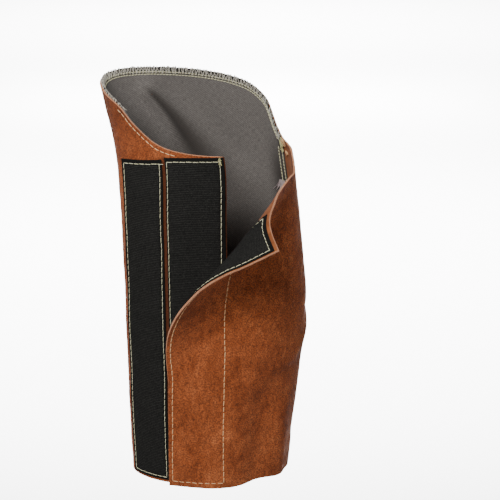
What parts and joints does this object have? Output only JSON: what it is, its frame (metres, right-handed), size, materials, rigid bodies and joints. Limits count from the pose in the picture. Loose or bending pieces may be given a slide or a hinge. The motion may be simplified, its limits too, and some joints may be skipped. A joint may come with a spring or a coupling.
{
  "type": "welding sleeve",
  "caption": "Tapered suede forearm sleeve that wraps shut with hook-and-loop strips down the front, shown standing open with its flap corner folded back.",
  "frame": {"origin": "middle of the wrist opening at the bottom edge, on the arm's axis", "axes": "+Z along the arm from the wrist to the elbow end, -Y through the front where the flap closes, +X to the side that the flap comes from"},
  "size_m": [0.1817, 0.1911, 0.3622],
  "materials": {
    "suede": "napped, matt",
    "twill": "matt cotton twill",
    "ribbed_tape": "matt ribbed tape"
  },
  "bodies": {
    "root": {"leather_shell": "suede", "lining": "twill", "hook_strip_inner": "ribbed_tape", "hook_strip_outer": "ribbed_tape", "loop_strip": "ribbed_tape"}
  },
  "joints": []
}
